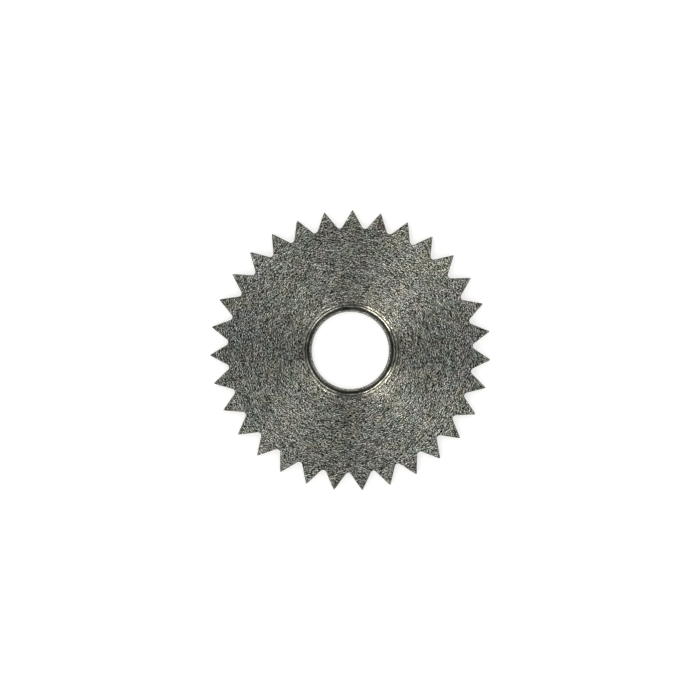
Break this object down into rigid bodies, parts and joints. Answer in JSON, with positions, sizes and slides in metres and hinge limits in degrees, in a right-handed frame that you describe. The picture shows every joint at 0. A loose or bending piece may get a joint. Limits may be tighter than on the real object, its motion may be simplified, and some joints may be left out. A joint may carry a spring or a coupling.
{
  "type": "date star wheel",
  "caption": "Flat round steel star wheel with pointed teeth all round its rim and a plain central bore, turned one tooth a day by a watch's calendar work.",
  "frame": {"origin": "on the bore's axis, in the plane of the flat back, which is the lowest point", "axes": "+Z along the bore's axis, out of the turned face that carries the rounded bore edge; +Y through the point of one tooth; +X to its right seen from +Z"},
  "size_m": [0.0072, 0.0072, 0.0004],
  "materials": {
    "turned_steel": "fine turned steel, satin, with fine feed rings round the bore and a polished bore edge"
  },
  "bodies": {
    "root": {"star_wheel": "turned_steel"}
  },
  "joints": []
}
